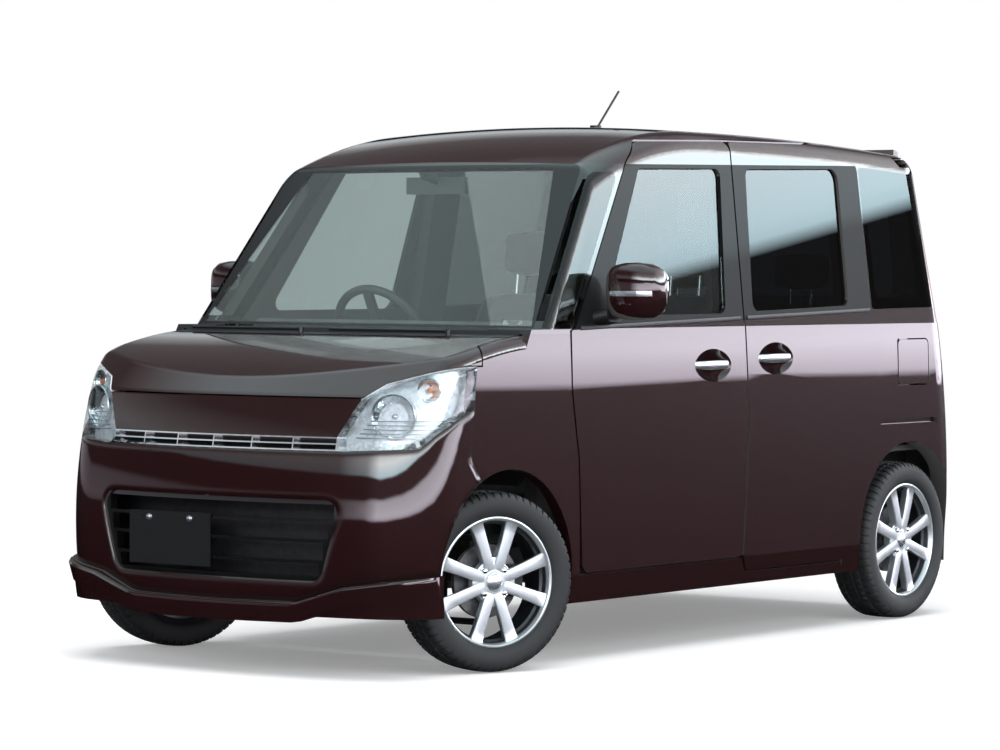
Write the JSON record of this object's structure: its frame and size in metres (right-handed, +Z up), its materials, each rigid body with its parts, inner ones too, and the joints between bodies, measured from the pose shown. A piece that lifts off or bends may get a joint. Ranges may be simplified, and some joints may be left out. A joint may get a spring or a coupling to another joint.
{
  "type": "kei car",
  "caption": "Tall small family car with hinged front doors, sliding rear doors, lifting tailgate, bonnet and steered front wheels; it parks on its own tyres.",
  "frame": {"origin": "on the ground under the middle of the car", "axes": "+X to the car's left, +Y to its tail with the nose at -Y, +Z up"},
  "size_m": [1.85, 3.3943, 1.8787],
  "materials": {
    "body_paint": "gloss metallic",
    "black_trim": "satin",
    "clear_glass": "gloss",
    "tinted_glass": "gloss",
    "lamp_lens": "gloss",
    "red_lens": "gloss",
    "bright_trim": "polished",
    "inner_metal": "satin",
    "chassis_metal": "matte",
    "exhaust_steel": "dull",
    "seat_fabric": "woven",
    "cabin_plastic": "grained",
    "tyre": "matte",
    "alloy": "painted silver"
  },
  "bodies": {
    "car_body": {"floor": "inner_metal", "side_frames": "inner_metal", "roof": "body_paint", "front_pillars": "black_trim", "windscreen": "clear_glass", "cowl": "black_trim", "fenders": "body_paint", "headlamps": "lamp_lens", "nose_panel": "body_paint", "upper_grille": "bright_trim", "air_dam": "body_paint", "front_bumper": "body_paint", "lower_grille": "black_trim", "front_plate": "black_trim", "side_skirts": "body_paint", "quarter_panels": "body_paint", "quarter_glass": "tinted_glass", "front_side_glass": "clear_glass", "hinges": "chassis_metal", "sliding_doors": "body_paint", "sliding_door_glass": "tinted_glass", "tail_lamps": "red_lens", "rear_bumper": "body_paint", "engine": "chassis_metal", "front_subframe": "chassis_metal", "rear_axle": "chassis_metal", "exhaust": "exhaust_steel", "front_seats": "seat_fabric", "rear_seat": "seat_fabric", "dashboard": "cabin_plastic", "wipers": "black_trim", "antenna": "black_trim", "inner_mirror": "black_trim"},
    "front_door_left": {"front_door_left": "body_paint", "front_door_glass_left": "clear_glass", "mirror_left": "body_paint"},
    "front_door_right": {"front_door_right": "body_paint", "front_door_glass_right": "clear_glass", "mirror_right": "body_paint"},
    "bonnet": {"bonnet": "body_paint"},
    "tailgate": {"tailgate": "body_paint", "tailgate_glass": "tinted_glass", "spoiler": "body_paint", "rear_plate": "black_trim"},
    "fuel_flap": {"fuel_flap": "body_paint"},
    "steering_wheel": {"steering_wheel": "cabin_plastic"},
    "knuckle_left": {"knuckle_left": "chassis_metal"},
    "knuckle_right": {"knuckle_right": "chassis_metal"},
    "wheel_front_left": {"tyre_front_left": "tyre", "rim_front_left": "alloy"},
    "wheel_front_right": {"tyre_front_right": "tyre", "rim_front_right": "alloy"},
    "wheel_rear_left": {"tyre_rear_left": "tyre", "rim_rear_left": "alloy"},
    "wheel_rear_right": {"tyre_rear_right": "tyre", "rim_rear_right": "alloy"}
  },
  "joints": [
    {"name": "front_door_left_hinge", "type": "hinge", "parent": "car_body", "child": "front_door_left", "pos_m": [0.7, -0.715, 0.6], "axis": [0, 0, -1], "range_deg": [0, 65]},
    {"name": "front_door_right_hinge", "type": "hinge", "parent": "car_body", "child": "front_door_right", "pos_m": [-0.7, -0.715, 0.6], "axis": [0, 0, 1], "range_deg": [0, 65]},
    {"name": "bonnet_hinge", "type": "hinge", "parent": "car_body", "child": "bonnet", "pos_m": [0, -1.088, 1.014], "axis": [-1, 0, 0], "range_deg": [0, 55]},
    {"name": "tailgate_hinge", "type": "hinge", "parent": "car_body", "child": "tailgate", "pos_m": [0, 1.446, 1.666], "axis": [1, 0, 0], "range_deg": [0, 78]},
    {"name": "fuel_flap_hinge", "type": "hinge", "parent": "car_body", "child": "fuel_flap", "pos_m": [0.7245, 1.2385, 0.922], "axis": [0, 0, -1], "range_deg": [0, 85]},
    {"name": "steer_left", "type": "hinge", "parent": "car_body", "child": "knuckle_left", "pos_m": [0.62, -1.1185, 0.281], "axis": [0, 0, 1], "range_deg": [-11, 55]},
    {"name": "steer_right", "type": "hinge", "parent": "car_body", "child": "knuckle_right", "pos_m": [-0.62, -1.1185, 0.281], "axis": [0, 0, 1], "range_deg": [-11, 55]},
    {"name": "steering_wheel_turn", "type": "hinge", "parent": "car_body", "child": "steering_wheel", "pos_m": [-0.33, -0.4, 1.015], "axis": [0, 0.891, 0.454], "range_deg": [-165, 825]},
    {"name": "front_left_spin", "type": "hinge", "parent": "knuckle_left", "child": "wheel_front_left", "pos_m": [0.64411, -1.12824, 0.281], "axis": [0.9272, -0.3746, 0], "continuous": true},
    {"name": "front_right_spin", "type": "hinge", "parent": "knuckle_right", "child": "wheel_front_right", "pos_m": [-0.64411, -1.10876, 0.281], "axis": [0.9272, -0.3746, 0], "continuous": true},
    {"name": "rear_left_spin", "type": "hinge", "parent": "car_body", "child": "wheel_rear_left", "pos_m": [0.646, 1.3065, 0.281], "axis": [1, 0, 0], "continuous": true},
    {"name": "rear_right_spin", "type": "hinge", "parent": "car_body", "child": "wheel_rear_right", "pos_m": [-0.646, 1.3065, 0.281], "axis": [1, 0, 0], "continuous": true}
  ],
  "couplings": [
    {"joint": "steer_right", "follows": "steer_left", "ratio": 1},
    {"joint": "steering_wheel_turn", "follows": "steer_left", "ratio": 15}
  ]
}
